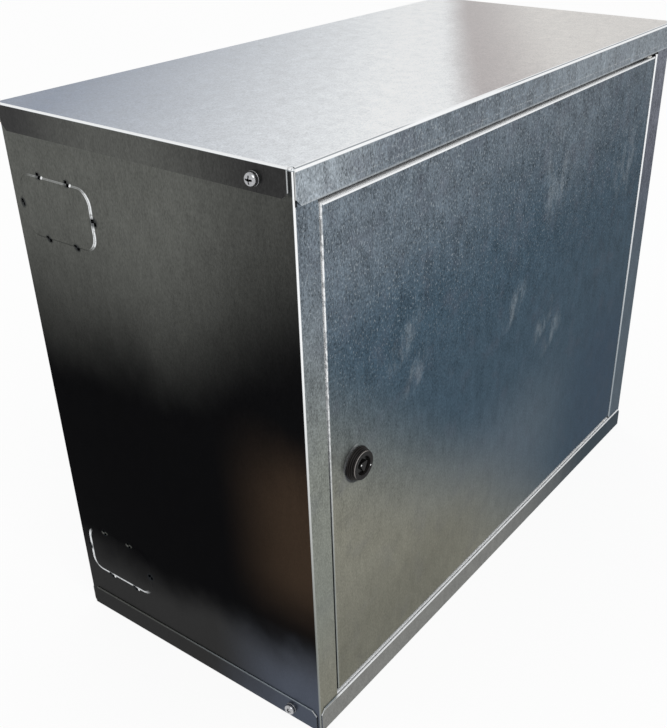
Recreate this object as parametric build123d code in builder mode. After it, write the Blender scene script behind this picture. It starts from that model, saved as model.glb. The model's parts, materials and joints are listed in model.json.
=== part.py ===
"""Wall-mounted water meter box in galvanised sheet, in millimetres.

A wrapped shell carries a screwed top cover and bottom tray. A flush door hangs on two pins at
the right and closes with a quarter-turn lock at the left. The origin is at the middle of the
underside, +X to the right of the door, +Y into the wall and +Z up.
"""

import os
from math import radians, sqrt, tan

from build123d import *

# Overall box and its sheet
width = 600.0
depth = 284.0
height = 480.0
sheet = 1.0
bend_inner = 1.0
cover_fit = 0.1
seam_gap = 0.3

# Top cover and bottom tray
cover_front_skirt = 24.5
cover_skirt = 20.0
tray_front_skirt = 24.5
tray_skirt = 21.5
skirt_setback_front = 4.5
skirt_setback_side = 2.2
skirt_corner_cut = 4.6
corner_relief_radius = 1.4

# Front frame: stiles folded from the shell, with a header and a sill behind them
lock_stile = 25.5
hinge_stile = 31.5
rebate_lip = 8.0
stop_gap = 3.0
header_reveal = 2.6
header_plate = 20.0
sill_recess = 0.5
sill_plate = 15.0
hinge_swing_room = 2.0

# Door
door_gap_top = 1.5
door_gap_bottom = 4.5
door_gap_lock = 1.2
door_gap_hinge = 3.0
door_return = 15.0
door_lip = 8.0

# Hinge pins
hinge_inset = 9.0
hinge_depth = 7.0
pin_radius = 2.5
pin_fit = 0.06
pin_head_radius = 4.0
pin_head_height = 1.8
pin_engagement = 5.5
pin_tip_chamfer = 0.6
washer_radius = 5.5
washer_bore_fit = 0.15
washer_end_play = 0.2

# Knock-outs for the pipes, two in each side wall
knockout_width = 80.0
knockout_height = 49.0
knockout_corner = 13.0
knockout_back_margin = 10.5
knockout_end_margin = 49.5
knockout_step = 0.7
knockout_slope = 60.0
knockout_tie_spacing = 32.0
notch_length = 3.0
notch_width = 2.4
notch_along = 1.2
notch_across = 1.1

# Wall fixing holes in the back
fixing_spacing_x = 500.0
fixing_spacing_z = 360.0
fixing_hole_radius = 4.5

# Flanged screws that hold the cover and the tray
screw_radius = 2.1
screw_clearance = 0.5
screw_bite = 0.05
screw_length = 12.0
screw_tip = 3.0
screw_flange_radius = 5.0
screw_flange_thickness = 1.0
screw_head_radius = 4.7
screw_head_height = 4.4
screw_recess_span = 5.4
screw_recess_width = 1.3
screw_recess_depth = 2.2
screw_recess_taper = 12.0
screw_crown_chamfer = 1.5
screw_front_inset = 31.5
screw_back_inset = 60.0
cover_screw_drop = 11.3
tray_screw_rise = 12.0

# Quarter-turn lock
lock_inset = 58.5
lock_flange_radius = 14.0
lock_flange_height = 6.0
lock_flange_taper = 19.7
lock_body_radius = 10.0
lock_flat = 9.0
lock_body_fit = 0.2
lock_nut_across = 25.0
lock_nut_thickness = 5.0
lock_recess_radius = 7.8
lock_recess_depth = 4.2
core_disc_radius = 7.4
core_disc_thickness = 1.6
core_radius = 6.0
core_fit = 0.06
core_face_gap = 0.3
key_side = 10.5
key_corner = 1.2
key_height = 2.2
cam_gap = 0.5
cam_reach = 34.0
cam_width = 15.0
cam_thickness = 2.5
cam_square = 8.0
cam_corner = 3.0
cam_fit = 0.1
cam_screw_radius = 3.0
cam_screw_depth = 8.0
cam_screw_head_radius = 4.8
cam_screw_head_height = 2.6
cam_screw_head_chamfer = 0.9
cam_screw_across = 3.0
cam_screw_socket = 1.5
cam_washer_radius = 6.5
cam_washer_thickness = 1.2

# Sizes worked out from the ones above
bend = bend_inner + sheet
shell_width = width - 2 * (sheet + cover_fit)
shell_depth = depth - 2 * (sheet + cover_fit)
shell_bottom = sheet + bend_inner
shell_top = height - sheet - bend_inner
front = -shell_depth / 2
back = shell_depth / 2
opening_left = lock_stile - width / 2
opening_right = width / 2 - hinge_stile
opening_middle = (opening_left + opening_right) / 2
header_level = height - cover_front_skirt - header_reveal
sill_level = tray_front_skirt - sill_recess
middle_z = height / 2
door_left = opening_left + door_gap_lock
door_right = opening_right - door_gap_hinge
door_top = header_level - door_gap_top
door_bottom = sill_level + door_gap_bottom
door_middle = (door_left + door_right) / 2
door_centre = (door_top + door_bottom) / 2
rebate_depth = door_return + stop_gap
rebate = front + rebate_depth
hinge_x = door_right - hinge_inset
hinge_y = front + hinge_depth
lock_x = lock_inset - width / 2
lock_z = middle_z
cam_front = rebate + sheet + cam_gap


def vertical(x, y, z):
    """Plane at a height, whose normal points up."""
    return Plane(origin=(x, y, z), x_dir=(1, 0, 0), z_dir=(0, 0, 1))


def facing_front(x, y, z):
    """Plane whose normal points out of the door, towards the viewer."""
    return Plane(origin=(x, y, z), x_dir=(1, 0, 0), z_dir=(0, -1, 0))


def folded_cover(face_level, inward, front_skirt, skirt):
    """Sheet with four skirts. inward is -1 for skirts that point down and 1 for up."""
    half_width = width / 2
    half_depth = depth / 2
    skirt_end = face_level + inward * skirt
    front_end = face_level + inward * front_skirt
    inner_side = Side.LEFT if inward > 0 else Side.RIGHT
    with BuildPart() as cover:
        with BuildSketch(Plane.XZ):
            with BuildLine():
                FilletPolyline(
                    (-half_width, skirt_end),
                    (-half_width, face_level),
                    (half_width, face_level),
                    (half_width, skirt_end),
                    radius=bend,
                )
                offset(amount=sheet, side=inner_side)
            make_face()
        extrude(amount=half_depth - skirt_setback_front, both=True)
        with BuildSketch(Plane.YZ):
            with BuildLine():
                FilletPolyline(
                    (-half_depth, front_end),
                    (-half_depth, face_level),
                    (half_depth, face_level),
                    (half_depth, skirt_end),
                    radius=bend,
                )
                offset(amount=sheet, side=inner_side)
            make_face()
        extrude(amount=half_width - skirt_setback_side, both=True)
        side_ends = cover.edges().filter_by(Axis.X).filter_by(
            lambda edge: abs(edge.length - sheet) < sheet / 10
            and abs(edge.center().Z - skirt_end) < sheet / 10
            and abs(edge.center().Y) < half_depth - skirt_setback_front / 2
        )
        chamfer(side_ends, length=skirt_corner_cut)
        front_ends = cover.edges().filter_by(Axis.Y).filter_by(
            lambda edge: abs(edge.length - sheet) < sheet / 10
            and abs(edge.center().X) > half_width - skirt_setback_front
            and min(abs(edge.center().Z - front_end), abs(edge.center().Z - skirt_end)) < sheet / 10
            and abs(edge.center().Y) > half_depth - bend
        )
        chamfer(front_ends, length=skirt_corner_cut)
        with BuildSketch(vertical(0, 0, face_level)):
            with GridLocations(width - 2 * bend, depth - 2 * bend, 2, 2):
                Circle(corner_relief_radius)
        extrude(amount=sheet, both=True, mode=Mode.SUBTRACT)
        for plane in screw_planes(face_level, inward):
            with BuildSketch(plane):
                Circle(screw_radius + screw_clearance)
            extrude(amount=2 * sheet, both=True, mode=Mode.SUBTRACT)
    return cover


def screw_planes(face_level, inward):
    """Where the four screws of a cover seat, each normal pointing out of the box."""
    drop = cover_screw_drop if inward < 0 else tray_screw_rise
    level = face_level + inward * drop
    side_y = screw_front_inset - depth / 2
    back_x = width / 2 - screw_back_inset
    return [
        Plane(origin=(-width / 2, side_y, level), x_dir=(0, -1, 0), z_dir=(-1, 0, 0)),
        Plane(origin=(width / 2, side_y, level), x_dir=(0, 1, 0), z_dir=(1, 0, 0)),
        Plane(origin=(-back_x, depth / 2, level), x_dir=(-1, 0, 0), z_dir=(0, 1, 0)),
        Plane(origin=(back_x, depth / 2, level), x_dir=(-1, 0, 0), z_dir=(0, 1, 0)),
    ]


cover_screws = screw_planes(height, -1)
tray_screws = screw_planes(0, 1)

# Shell: left stile, left side, back, right side and right stile in one folded sheet
with BuildPart() as body_shell:
    with BuildSketch(vertical(0, 0, shell_bottom)):
        with BuildLine():
            FilletPolyline(
                (opening_left + rebate_lip, rebate),
                (opening_left, rebate),
                (opening_left, front),
                (-shell_width / 2, front),
                (-shell_width / 2, back),
                (shell_width / 2, back),
                (shell_width / 2, front),
                (opening_right, front),
                (opening_right, rebate),
                radius=[bend_inner] + [bend] * 6,
            )
            offset(amount=sheet, side=Side.RIGHT)
        make_face()
    extrude(amount=shell_top - shell_bottom)
    # The returns of the stiles stop short of the header and the sill
    return_reach = 2 * (rebate_depth + bend)
    with BuildSketch(vertical(opening_middle, front, header_level - seam_gap)):
        Rectangle(opening_right - opening_left + 2 * bend, return_reach)
    extrude(amount=height - header_level, mode=Mode.SUBTRACT)
    with BuildSketch(vertical(opening_middle, front, sill_level + seam_gap)):
        Rectangle(opening_right - opening_left + 2 * bend, return_reach)
    extrude(amount=-sill_level - seam_gap, mode=Mode.SUBTRACT)
    # Knock-outs: panels pressed a little proud of the side walls, with a stepped notch at each tie
    knockout_y = back - knockout_back_margin - knockout_width / 2
    knockout_z = middle_z - knockout_end_margin - knockout_height / 2
    for outward in (-1, 1):
        wall = Plane(
            origin=(outward * shell_width / 2, knockout_y, middle_z),
            x_dir=(0, 1, 0),
            z_dir=(outward, 0, 0),
        )
        with BuildSketch(wall):
            with Locations((0, -knockout_z), (0, knockout_z)):
                RectangleRounded(knockout_width, knockout_height, knockout_corner)
        extrude(amount=knockout_step, taper=knockout_slope)
        inset = sheet * tan(radians(90 - knockout_slope) / 2)
        with BuildSketch(wall.offset(-sheet)):
            with Locations((0, -knockout_z), (0, knockout_z)):
                RectangleRounded(
                    knockout_width - 2 * inset, knockout_height - 2 * inset, knockout_corner - inset
                )
        extrude(amount=knockout_step, taper=knockout_slope, mode=Mode.SUBTRACT)
    with BuildSketch(Plane.YZ):
        with Locations((knockout_y, middle_z - knockout_z), (knockout_y, middle_z + knockout_z)):
            with GridLocations(knockout_tie_spacing, knockout_height, 2, 2):
                with Locations((notch_along, notch_across), (-notch_along, -notch_across)):
                    Rectangle(notch_length, notch_width)
            with GridLocations(knockout_width, knockout_height, 2, 1):
                with Locations((notch_across, notch_along), (-notch_across, -notch_along)):
                    Rectangle(notch_width, notch_length)
    extrude(amount=width, both=True, mode=Mode.SUBTRACT)
    with BuildSketch(facing_front(0, back, middle_z)):
        with GridLocations(fixing_spacing_x, fixing_spacing_z, 2, 2):
            Circle(fixing_hole_radius)
    extrude(amount=2 * sheet, both=True, mode=Mode.SUBTRACT)
    for seat in cover_screws + tray_screws:
        with BuildSketch(seat):
            Circle(screw_radius + screw_bite)
        extrude(amount=-3 * sheet, mode=Mode.SUBTRACT)

top_cover = folded_cover(height, -1, cover_front_skirt, cover_skirt)
bottom_tray = folded_cover(0, 1, tray_front_skirt, tray_skirt)


def frame_rail(level, outward, plate):
    """Header or sill: a plate behind the stiles, a shelf at the opening and a stop lip.

    outward is 1 for the header, whose plate stands above its shelf, and -1 for the sill.
    The lip starts past the lip of the left stile and ends where the hinged edge swings.
    """
    plate_half = shell_width / 2 - sheet - bend_inner
    plate_end = level + outward * plate
    lip_left = opening_left + rebate_lip + seam_gap
    lip_right = hinge_x - sqrt(hinge_inset**2 + (door_return - hinge_depth) ** 2) - hinge_swing_room
    inner_side = Side.LEFT if outward > 0 else Side.RIGHT
    with BuildPart() as rail:
        with BuildSketch(Plane.YZ):
            with Locations((front + 1.5 * sheet, level + outward * (plate + bend) / 2)):
                Rectangle(sheet, plate - bend)
        extrude(amount=plate_half, both=True)
        with BuildSketch(Plane.YZ.offset(opening_left - bend)):
            with BuildLine():
                FilletPolyline(
                    (front + sheet, plate_end),
                    (front + sheet, level),
                    (rebate, level),
                    radius=bend,
                )
                offset(amount=sheet, side=inner_side)
            make_face()
        extrude(amount=opening_right - opening_left + 2 * bend)
        with BuildSketch(Plane.YZ.offset(lip_left)):
            with BuildLine():
                FilletPolyline(
                    (front + sheet, plate_end),
                    (front + sheet, level),
                    (rebate, level),
                    (rebate, level - outward * rebate_lip),
                    radius=[bend, bend_inner],
                )
                offset(amount=sheet, side=inner_side)
            make_face()
        extrude(amount=lip_right - lip_left)
        with BuildSketch(vertical(hinge_x, hinge_y, level)):
            Circle(pin_radius + pin_fit)
        extrude(amount=2 * sheet, both=True, mode=Mode.SUBTRACT)
    return rail


header_rail = frame_rail(header_level, 1, header_plate)
sill_rail = frame_rail(sill_level, -1, sill_plate)

# Door: a folded tray whose returns have inward lips, open along its four corner seams
with BuildPart() as door_panel:
    with BuildSketch(facing_front(door_middle, front, door_centre)):
        Rectangle(door_right - door_left, door_top - door_bottom)
    extrude(amount=-door_return)
    fillet(door_panel.faces().sort_by(Axis.Y)[0].edges(), radius=bend)
    with BuildSketch(facing_front(door_middle, front + sheet, door_centre)):
        Rectangle(door_right - door_left - 2 * sheet, door_top - door_bottom - 2 * sheet)
    extrude(amount=sheet - door_return + sheet, mode=Mode.SUBTRACT)
    with BuildSketch(facing_front(door_middle, front + door_return, door_centre)):
        Rectangle(
            door_right - door_left - 2 * (sheet + door_lip),
            door_top - door_bottom - 2 * (sheet + door_lip),
        )
    extrude(amount=2 * sheet, mode=Mode.SUBTRACT)
    for x, z in ((door_left, door_top), (door_right, door_top),
                 (door_left, door_bottom), (door_right, door_bottom)):
        across = 1 if (x - door_middle) * (z - door_centre) > 0 else -1
        with BuildSketch(facing_front(x, front + bend, z)):
            Rectangle(4 * (sheet + door_lip), seam_gap, rotation=45 * across)
        extrude(amount=-door_return, mode=Mode.SUBTRACT)
    with BuildSketch(facing_front(lock_x, front, lock_z)):
        Circle(lock_body_radius + lock_body_fit)
        Rectangle(
            2 * (lock_flat + lock_body_fit), 4 * lock_body_radius, mode=Mode.INTERSECT
        )
    extrude(amount=2 * sheet, both=True, mode=Mode.SUBTRACT)
    with BuildSketch(vertical(hinge_x, hinge_y, door_bottom - sheet)):
        Circle(pin_radius + pin_fit)
    extrude(amount=door_top - door_bottom + 2 * sheet, mode=Mode.SUBTRACT)


def hinge_pin(seat_level, upward, span):
    """Headed pin. It seats on the far side of the shelf and runs through the door's return."""
    with BuildPart() as pin:
        with BuildSketch(vertical(hinge_x, hinge_y, seat_level)):
            Circle(pin_head_radius)
        extrude(amount=-upward * pin_head_height)
        with BuildSketch(vertical(hinge_x, hinge_y, seat_level)):
            Circle(pin_radius)
        extrude(amount=upward * span)
        tip = pin.faces().filter_by(Axis.Z).sort_by(Axis.Z)[-1 if upward > 0 else 0]
        chamfer(tip.edges(), length=pin_tip_chamfer)
    return pin


upper_hinge_pin = hinge_pin(
    header_level + sheet, -1, sheet + door_gap_top + sheet + pin_engagement
)
lower_hinge_pin = hinge_pin(
    sill_level - sheet, 1, sheet + door_gap_bottom + sheet + pin_engagement
)


def hinge_washer(base_level, thickness):
    """Plastic spacer ring round a hinge pin."""
    with BuildPart() as washer:
        with BuildSketch(vertical(hinge_x, hinge_y, base_level)):
            Circle(washer_radius)
            Circle(pin_radius + washer_bore_fit, mode=Mode.SUBTRACT)
        extrude(amount=thickness)
    return washer


upper_hinge_washer = hinge_washer(door_top, door_gap_top - washer_end_play)
lower_hinge_washer = hinge_washer(sill_level, door_gap_bottom - washer_end_play)


def flanged_screw(seat):
    """Cross-recessed sheet metal screw, turned about its axis, with a flange under its head."""
    section = Plane(origin=seat.origin, x_dir=seat.x_dir, z_dir=seat.x_dir.cross(seat.z_dir))
    head_top = screw_flange_thickness + screw_head_height
    with BuildPart() as screw:
        with BuildSketch(section):
            with BuildLine():
                Polyline(
                    (0, -screw_length),
                    (screw_radius, screw_tip - screw_length),
                    (screw_radius, 0),
                    (screw_flange_radius, 0),
                    (screw_flange_radius, screw_flange_thickness),
                    (screw_head_radius, screw_flange_thickness),
                    (screw_head_radius, head_top - screw_crown_chamfer),
                    (screw_head_radius - screw_crown_chamfer, head_top),
                    (0, head_top),
                    close=True,
                )
            make_face()
        revolve(axis=Axis(seat.origin, seat.z_dir))
        with BuildSketch(seat.offset(head_top)):
            Rectangle(screw_recess_span, screw_recess_width)
            Rectangle(screw_recess_width, screw_recess_span)
        extrude(amount=-screw_recess_depth, taper=screw_recess_taper, mode=Mode.SUBTRACT)
    return screw


# Lock, all round one axis that runs straight through the door
with BuildPart() as lock_housing:
    with BuildSketch(facing_front(lock_x, front, lock_z)):
        Circle(lock_flange_radius)
    extrude(amount=lock_flange_height, taper=lock_flange_taper)
    with BuildSketch(facing_front(lock_x, front, lock_z)):
        Circle(lock_body_radius)
        Rectangle(2 * lock_flat, 4 * lock_body_radius, mode=Mode.INTERSECT)
    extrude(amount=front - cam_front + cam_gap)
    with BuildSketch(facing_front(lock_x, front - lock_flange_height, lock_z)):
        Circle(lock_recess_radius)
    extrude(amount=-lock_recess_depth, mode=Mode.SUBTRACT)
    with BuildSketch(facing_front(lock_x, front, lock_z)):
        Circle(core_radius + core_fit)
    extrude(amount=cam_front - front, both=True, mode=Mode.SUBTRACT)

with BuildPart() as lock_nut:
    with BuildSketch(facing_front(lock_x, front + sheet, lock_z)):
        RegularPolygon(lock_nut_across / sqrt(3), 6)
        Circle(lock_body_radius + core_fit, mode=Mode.SUBTRACT)
    extrude(amount=-lock_nut_thickness)

core_seat = front - lock_flange_height + lock_recess_depth
with BuildPart() as lock_core:
    with BuildSketch(facing_front(lock_x, core_seat - core_face_gap, lock_z)):
        Circle(core_disc_radius)
    extrude(amount=core_disc_thickness)
    with BuildSketch(facing_front(lock_x, core_seat - core_face_gap - core_disc_thickness, lock_z)):
        key_radius = key_side / sqrt(3)
        with BuildLine():
            FilletPolyline(
                (0, -key_radius),
                (key_side / 2, key_radius / 2),
                (-key_side / 2, key_radius / 2),
                radius=key_corner,
                close=True,
            )
        make_face()
    extrude(amount=key_height)
    with BuildSketch(facing_front(lock_x, core_seat - core_face_gap, lock_z)):
        Circle(core_radius)
    extrude(amount=core_seat - core_face_gap - cam_front)
    with BuildSketch(facing_front(lock_x, cam_front, lock_z)):
        Rectangle(cam_square, cam_square)
    extrude(amount=-cam_thickness)
    with BuildSketch(facing_front(lock_x, cam_front + cam_thickness, lock_z)):
        Circle(cam_screw_radius + core_fit)
    extrude(amount=cam_screw_depth + seam_gap, mode=Mode.SUBTRACT)

# The cam hangs down when unlatched. A quarter turn brings it behind the left stile
with BuildPart() as lock_cam:
    with BuildSketch(facing_front(lock_x, cam_front, lock_z)):
        with Locations((0, -cam_reach / 2)):
            RectangleRounded(cam_width, cam_reach, cam_corner)
        Circle(cam_width / 2)
        Rectangle(cam_square + 2 * cam_fit, cam_square + 2 * cam_fit, mode=Mode.SUBTRACT)
    extrude(amount=-cam_thickness)

cam_back = cam_front + cam_thickness
with BuildPart() as cam_washer:
    with BuildSketch(facing_front(lock_x, cam_back, lock_z)):
        Circle(cam_washer_radius)
        Circle(cam_screw_radius + washer_bore_fit, mode=Mode.SUBTRACT)
    extrude(amount=-cam_washer_thickness)

with BuildPart() as cam_screw:
    with BuildSketch(facing_front(lock_x, cam_back + cam_washer_thickness, lock_z)):
        Circle(cam_screw_head_radius)
    extrude(amount=-cam_screw_head_height)
    chamfer(cam_screw.edges().filter_by(GeomType.CIRCLE).sort_by(Axis.Y)[-1], length=cam_screw_head_chamfer)
    with BuildSketch(facing_front(lock_x, cam_back + cam_washer_thickness + cam_screw_head_height, lock_z)):
        RegularPolygon(cam_screw_across / sqrt(3), 6)
    extrude(amount=cam_screw_socket, mode=Mode.SUBTRACT)
    with BuildSketch(facing_front(lock_x, cam_back + cam_washer_thickness, lock_z)):
        Circle(cam_screw_radius)
    extrude(amount=cam_washer_thickness + cam_screw_depth)

pieces = {
    "body_shell": body_shell,
    "top_cover": top_cover,
    "bottom_tray": bottom_tray,
    "header_rail": header_rail,
    "sill_rail": sill_rail,
    "door_panel": door_panel,
    "upper_hinge_pin": upper_hinge_pin,
    "lower_hinge_pin": lower_hinge_pin,
    "upper_hinge_washer": upper_hinge_washer,
    "lower_hinge_washer": lower_hinge_washer,
    "lock_housing": lock_housing,
    "lock_nut": lock_nut,
    "lock_core": lock_core,
    "lock_cam": lock_cam,
    "cam_washer": cam_washer,
    "cam_screw": cam_screw,
}
corners = ("left", "right", "rear_left", "rear_right")
for corner, cover_seat, tray_seat in zip(corners, cover_screws, tray_screws):
    pieces["cover_screw_" + corner] = flanged_screw(cover_seat)
    pieces["tray_screw_" + corner] = flanged_screw(tray_seat)

os.makedirs("parts", exist_ok=True)
for label, piece in pieces.items():
    piece.part.label = label
    export_step(piece.part, "parts/" + label + ".step")
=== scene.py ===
"""Looks of the wall-mounted water meter box: galvanised sheet, zinc screws and a black lock."""

import json
from math import cos, pi, radians, sin

import bmesh
import bpy
from mathutils import Matrix, Vector


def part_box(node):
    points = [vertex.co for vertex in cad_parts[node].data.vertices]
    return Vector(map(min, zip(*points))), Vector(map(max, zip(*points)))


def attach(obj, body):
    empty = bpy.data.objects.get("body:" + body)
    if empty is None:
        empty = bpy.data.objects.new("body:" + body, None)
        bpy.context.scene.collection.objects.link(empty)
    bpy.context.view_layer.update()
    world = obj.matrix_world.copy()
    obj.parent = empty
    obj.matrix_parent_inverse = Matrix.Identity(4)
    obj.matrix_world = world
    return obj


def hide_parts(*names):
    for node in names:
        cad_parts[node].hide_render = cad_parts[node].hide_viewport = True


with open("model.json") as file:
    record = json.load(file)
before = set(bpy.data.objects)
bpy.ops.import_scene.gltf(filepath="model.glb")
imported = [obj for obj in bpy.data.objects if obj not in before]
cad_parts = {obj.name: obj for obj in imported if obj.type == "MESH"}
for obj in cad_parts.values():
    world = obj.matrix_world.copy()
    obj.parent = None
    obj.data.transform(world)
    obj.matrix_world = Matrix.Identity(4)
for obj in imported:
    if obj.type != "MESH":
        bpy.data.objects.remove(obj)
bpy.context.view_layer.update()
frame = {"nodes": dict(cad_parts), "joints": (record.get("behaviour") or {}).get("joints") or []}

MM = 0.001
NODES = frame["nodes"]
JOINTS = {joint["name"]: joint for joint in frame["joints"]}

# Where the box's main planes and edges are, read from the frame
LEFT, LID_FRONT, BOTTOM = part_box("bottom_tray")[0]
RIGHT, LID_BACK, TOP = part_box("top_cover")[1]
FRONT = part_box("door_panel")[0].y
SKIRT_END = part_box("top_cover")[0].z
TRAY_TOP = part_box("bottom_tray")[1].z
LOCK = Vector(JOINTS["lock_turn"]["pos_m"])

# The pipe knock-outs in the shell's sides
KNOCKOUT_Y = 90.4 * MM
KNOCKOUT_HIGH = 406 * MM
KNOCKOUT_LOW = 74 * MM
KNOCKOUT_HALF_Y = 40 * MM
KNOCKOUT_HALF_Z = 24.5 * MM
KNOCKOUT_CORNER = 13 * MM
KNOCKOUT_TIE = 16 * MM

# Reach in depth and in height of the marks painted at a knock-out's ties and ends
# Dark marks at ties and ends are painted shade; small bright marks are painted glints
TIE_SHADE = (4.6 * MM, 4.2 * MM)
TIE_DASH = (5.0 * MM, 1.8 * MM)
TIE_GLINT = (1.5 * MM, 1.5 * MM)
END_SHADE = (5.0 * MM, 5.6 * MM)

# Where a painted glint lies from its tie
GLINT_SHIFT = (-3.9 * MM, -0.6 * MM)

# The photograph's camera
CAMERA_PLACE = (-0.7268, -0.5111, 0.6534)
CAMERA_TURN = (radians(59.359), radians(0.222), radians(-54.516))
CAMERA_LENS = 48.414
CAMERA_SHIFT = (-0.0663, 0.0540)

# Screws
SCREW_FLANGE_EDGE = 0.3 * MM
SCREW_SEAT_CHAMFER = 0.1 * MM
SCREW_HEAD_RADIUS = 4.7 * MM
SCREW_HEAD_HEIGHT = 4.4 * MM
SCREW_FLANGE_THICKNESS = 1.0 * MM
SCREW_NECK = 0.35 * MM
SCREW_DOME_ROUND = 2.6 * MM
SCREW_DOME_SHARE = 0.62
SCREW_CROWN = 0.6 * MM
SCREW_RADIUS = 2.1 * MM
SCREW_ROOT = 1.55 * MM
SCREW_PITCH = 1.4 * MM
SCREW_TIP = 3.0 * MM
SCREW_TOP_RINGS = 44
SCREW_SHANK_RINGS = 96
SCREW_SECTORS = 64
THREAD_SLOPE = 1.35
RECESS_SPAN = 5.8 * MM
RECESS_WIDTH = 1.3 * MM
RECESS_DEPTH = 2.2 * MM
RECESS_WALL = 0.12 * MM
RECESS_BOWL = 0.6

# Lock
LOCK_FLANGE_RADIUS = 14.0 * MM
LOCK_FLANGE_HEIGHT = 6.0 * MM
LOCK_RIM_RADIUS = 11.85 * MM
LOCK_RIM_ROUND = 0.35 * MM
LOCK_RIB_DEPTH = 0.35 * MM
LOCK_RIBS = 4
RINGS_PER_RIB = 6
LOCK_RECESS_RADIUS = 7.8 * MM
LOCK_RECESS_DEPTH = 4.2 * MM
LOCK_RECESS_ROUND = 0.4 * MM
LOCK_RECESS_FILLET = 0.3 * MM
LOCK_BODY_RADIUS = 10.0 * MM
LOCK_BODY_FLAT = 9.0 * MM
LOCK_BODY_LENGTH = 19.0 * MM
LOCK_BODY_CHAMFER = 0.6 * MM
LOCK_BODY_RINGS = 90
LOCK_SECTORS = 128
LOCK_THREAD_PITCH = 1.5 * MM
LOCK_THREAD_DEPTH = 0.7 * MM
LOCK_THREAD_CREST = LOCK_BODY_RADIUS - 0.02 * MM
LOCK_BORE = 6.06 * MM

# Painted glints: on the housing in its own X and Y, and on the core in the frame's X and Z
LOCK_GLINT = (8.4 * MM, -4.0 * MM)
CORE_GLINT = (-244.5 * MM, 241.5 * MM)

# Rounding of the core's and the cam's edges
SOFT_EDGE = 0.3 * MM

# Corners of the cover between its skirts
CORNER_ACROSS = 2.3 * MM
CORNER_INWARD = 4.6 * MM
CORNER_DEPTH = 2.0 * MM
CORNER_ROUND = 1.9 * MM
SAME_PLANE = 1e-6

# Slanting smears on the door, as shares of the width and of the height
SMEARS = ((0.20, 0.66), (0.23, 0.59), (0.49, 0.58), (0.59, 0.50), (0.63, 0.46))

# Tint of the sheet's reflection where it is seen edge on
EDGE_TINT = (0.5, 0.5, 0.5, 1.0)
COVER_EDGE_TINT = (0.8, 0.8, 0.8, 1.0)

# Studio, in metres and watts
FLOOR_RADIUS = 14
FLOOR_TONE = (0.90, 0.90, 0.90, 1)
FLOOR_GLOW = 0.90
SKY_RISE = (0.1, 1.0)
SKY_STRENGTH = (0.99, 0.80)
KEY_PLACE = (-0.9, -1.5, 2.1)
KEY_AIM = (0, 0, 0.24)
KEY_SIZE = 1.2
KEY_POWER = 14


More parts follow.
